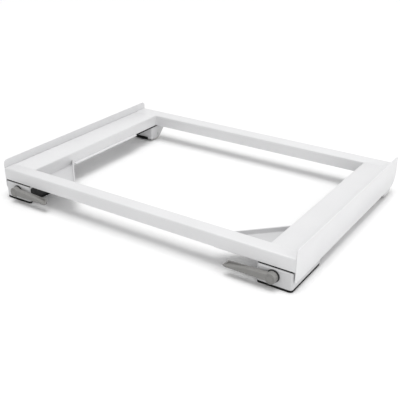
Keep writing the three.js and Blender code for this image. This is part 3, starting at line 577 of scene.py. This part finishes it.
# The line of a seam across the seat, from the channel's inner wall to the side plate
def seam_line(side, edge, onto_rail):
    place = (edge + onto_rail * SEAM_SETBACK, SEAT + GROUND_SEAM_PROUD - GROUND_SEAM_HALF_HEIGHT)
    return [(side * (WALL_INSIDE + SEAM_SETBACK), *place),
            (side * (PLATE_FACE - SEAM_END_GAP), *place)]


# The line of a bead up the inside corner below that seam, and over the bend to the seam's end
def corner_bead_line(side, edge, onto_rail):
    bead = [(side * WALL_INSIDE, edge, RAIL_FOOT + BEAD_FOOT_GAP)]
    for step in range(BEND_STEPS + 1):
        angle = BEND_SWEEP * step / BEND_STEPS
        inset = BEND_REACH * (1 - cos(angle)) + BEND_SINK * sin(angle)
        bead.append((side * (WALL_INSIDE + inset), edge + onto_rail * inset,
                     SEAT - BEND_REACH + (BEND_REACH - BEND_SINK) * sin(angle)))
    return bead


# The lines of the short beads between a side channel's foot and its plate, spaced evenly from the
# foot box to the rear bracket
def stitch_lines(side):
    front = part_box("right_front_foot_box")[1].y
    pitch = (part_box("right_rear_bracket")[0].y - front) / STITCH_COUNT
    stitches = []
    for count in range(STITCH_COUNT):
        middle = front + pitch * (count + 0.5)
        stitches.append([(side * PLATE_FACE, middle - STITCH_LENGTH / 2, RAIL_FOOT),
                         (side * PLATE_FACE, middle + STITCH_LENGTH / 2, RAIL_FOOT)])
    return stitches


def seat_seams(tree):
    lines = [seam_line(side, *rail_edge) for side in SIDES.values() for rail_edge in RAIL_EDGES]
    return grown_along("seat_seams_ground_flush", lines, tree, {
        "Half Width": GROUND_SEAM_HALF_WIDTH, "Half Height": GROUND_SEAM_HALF_HEIGHT,
        "Step": GROUND_SEAM_HALF_WIDTH, "Ripple": 0.0, "Ripple Pitch": BEAD_RIPPLE_PITCH,
        "Material": FRAME_PAINT})


def weld_beads(tree):
    lines = []
    for side in SIDES.values():
        lines += [corner_bead_line(side, *rail_edge) for rail_edge in RAIL_EDGES]
        lines += stitch_lines(side)
    return grown_along("inside_corner_weld_beads", lines, tree, {
        "Half Width": BEAD_RADIUS, "Half Height": BEAD_RADIUS,
        "Step": BEAD_RIPPLE_PITCH / BEAD_STEPS_PER_RIPPLE, "Ripple": BEAD_RIPPLE,
        "Ripple Pitch": BEAD_RIPPLE_PITCH, "Material": FRAME_PAINT})


# Black strip, for the foot boxes' rubber edging and for the painted shade in the joints: a flat
# section swept along each given line, its corners rounded, its ends closed
def strip_tree():
    tree, given = new_shape_tree("rubber_and_painted_shade_strip_along_line", {
        "Width": "Float", "Height": "Float", "Corner Radius": "Float", "Corner Steps": "Int"})
    lines = add_node(tree, "GeometryNodeMeshToCurve", links={"Mesh": (given, "Geometry")})
    bent = add_node(tree, "GeometryNodeFilletCurve", {"Limit Radius": True},
                    {"Curve": (lines, "Curve"), "Radius": (given, "Corner Radius"),
                     "Count": (given, "Corner Steps")}, mode="POLY")
    section = add_node(tree, "GeometryNodeCurvePrimitiveQuadrilateral",
                       links={"Width": (given, "Width"), "Height": (given, "Height")})
    strip = add_node(tree, "GeometryNodeCurveToMesh", {"Fill Caps": True},
                     {"Curve": (bent, "Curve"), "Profile Curve": (section, "Curve")})
    return end_shape_tree(tree, given, strip, "Mesh")


# The line of the edging round a foot box, from its inner front corner to its inner rear one
def edging_line(word, height):
    low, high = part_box(f"{word}_front_foot_box")
    inset = EDGING_WIDTH / 2 - EDGING_PROUD
    front, rear = low.y + inset, high.y - inset
    inner, outer = sorted((low.x + inset, high.x - inset), key=abs)
    return [(inner, front + BOX_CORNER_RADIUS, height), (inner, front, height),
            (outer, front, height), (outer, rear, height),
            (inner, rear, height), (inner, rear - BOX_CORNER_RADIUS, height)]


def foot_box_edging(tree):
    foot = EDGING_FLOOR_GAP
    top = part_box("left_front_foot_box")[0].z - EDGING_WALL_GAP
    lines = [edging_line(word, (foot + top) / 2) for word in SIDES]
    return rounded(grown_along("foot_box_edging", lines, tree, {
        "Width": EDGING_WIDTH, "Height": top - foot, "Corner Radius": BOX_CORNER_RADIUS,
        "Corner Steps": CORNER_STEPS, "Material": RUBBER}), TURNED_EDGE)


# The line of the strip across in front of a front gusset
def front_strip_line(word, height):
    low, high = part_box(f"{word}_front_foot_box")
    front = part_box("front_rail")[0].y + STRIP_INSET
    return [(low.x + STRIP_SETBACK, front, height), (high.x - STRIP_SETBACK, front, height)]


# The line of the strip beside a rear mounting plate and round its rear
def rear_strip_line(word, height):
    low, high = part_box(f"{word}_rear_bracket")
    inset = STRIP_WIDTH / 2 - STRIP_PROUD
    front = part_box(f"{word}_rear_mounting_plate")[0].y
    rear = high.y - STRIP_INSET
    inner, outer = sorted((low.x + inset, high.x - inset), key=abs)
    return [(inner, front, height), (inner, rear, height), (outer, rear, height)]


# Black strips in the grooves between the corner units and the frame: painted shade for the shadow
# there
def painted_shade_joint_strips(tree):
    foot = UNIT_TOP + STRIP_AIR
    top = RAIL_FOOT - STRIP_AIR
    height = (foot + top) / 2
    lines = []
    for word in SIDES:
        lines += [front_strip_line(word, height), rear_strip_line(word, height)]
    return rounded(grown_along("corner_unit_joint_strips_of_painted_shade", lines, tree, {
        "Width": STRIP_WIDTH, "Height": top - foot, "Corner Radius": STRIP_WIDTH,
        "Corner Steps": CORNER_STEPS, "Material": RUBBER}), TURNED_EDGE)


# Every solid has its dressed copy, and the rollers are turned anew
roller_shape = roller_tree()
for node, slot in NODE_SLOT.items():
    material, edge = SLOTS[slot]
    piece = roller(node, roller_shape) if node.endswith("roller") else dressed_copy(node)
    # Pressed corner parts take the greyer coat, which carries painted shade for their recesses
    hand_over(rounded(piece, edge), node,
              CORNER_PAINT_AND_SHADE if node.endswith(PRESSED_PARTS) else material)

# Pieces that have no solid
weld_shape = weld_tree()
strip_shape = strip_tree()
add_to_frame(corner_bolt_threads())
add_to_frame(seat_seams(weld_shape))
add_to_frame(weld_beads(weld_shape))
add_to_frame(foot_box_edging(strip_shape))
add_to_frame(painted_shade_joint_strips(strip_shape))

# Floor
floor_mesh = bpy.data.meshes.new("studio_floor")
corners = [(x * FLOOR_REACH, y * FLOOR_REACH, 0) for x, y in ((-1, -1), (1, -1), (1, 1), (-1, 1))]
floor_mesh.from_pydata(corners, [], [(0, 1, 2, 3)])
floor_mesh.materials.append(studio_floor_paper())
new_piece("studio_floor", floor_mesh)


# A lamp that shines at the origin from the given distance, in the direction of the given turn
def studio_lamp(name, kind, strength, turn, distance, **settings):
    lamp = bpy.data.lights.new(name, kind)
    lamp.energy = strength
    for key, value in settings.items():
        setattr(lamp, key, value)
    lamp_object = bpy.data.objects.new(name, lamp)
    lamp_object.rotation_euler = turn
    lamp_object.location = Euler(turn).to_matrix() @ Vector((0, 0, distance))
    bpy.context.scene.collection.objects.link(lamp_object)


# Lights: a broad lamp straight above, a square one at the right, and a pale sky all round
studio_lamp("lamp_above", "SUN", SUN_STRENGTH, turn=(0, 0, 0), distance=0, angle=SUN_SPREAD)
studio_lamp("lamp_right", "AREA", SIDE_LAMP_STRENGTH, turn=SIDE_LAMP_TURN,
            distance=SIDE_LAMP_DISTANCE, size=SIDE_LAMP_SIZE)
world = bpy.data.worlds.new("studio_sky")
world.use_nodes = True
world.node_tree.nodes.clear()
brightness = add_node(world.node_tree, "ShaderNodeMapRange",
                      {"To Min": SKY_STRENGTH, "To Max": 1.0},
                      {"Value": (seen_ray(world.node_tree), "Value")})
sky = add_node(world.node_tree, "ShaderNodeBackground", {"Color": linear("FFFFFF")},
               {"Strength": (brightness, "Result")})
add_node(world.node_tree, "ShaderNodeOutputWorld", links={"Surface": (sky, "Background")})
bpy.context.scene.world = world

# Camera
camera = bpy.data.objects.new("photo_camera", bpy.data.cameras.new("photo_camera"))
camera.data.lens = CAMERA_LENS
camera.data.sensor_width = CAMERA_SENSOR
camera.location = CAMERA_PLACE + Vector((0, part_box("front_rail")[0].y, 0))
camera.rotation_euler = (CAMERA_TILT, CAMERA_ROLL, CAMERA_TURN)
bpy.context.scene.collection.objects.link(camera)
bpy.context.scene.camera = camera
bpy.context.scene.view_settings.view_transform = "Standard"
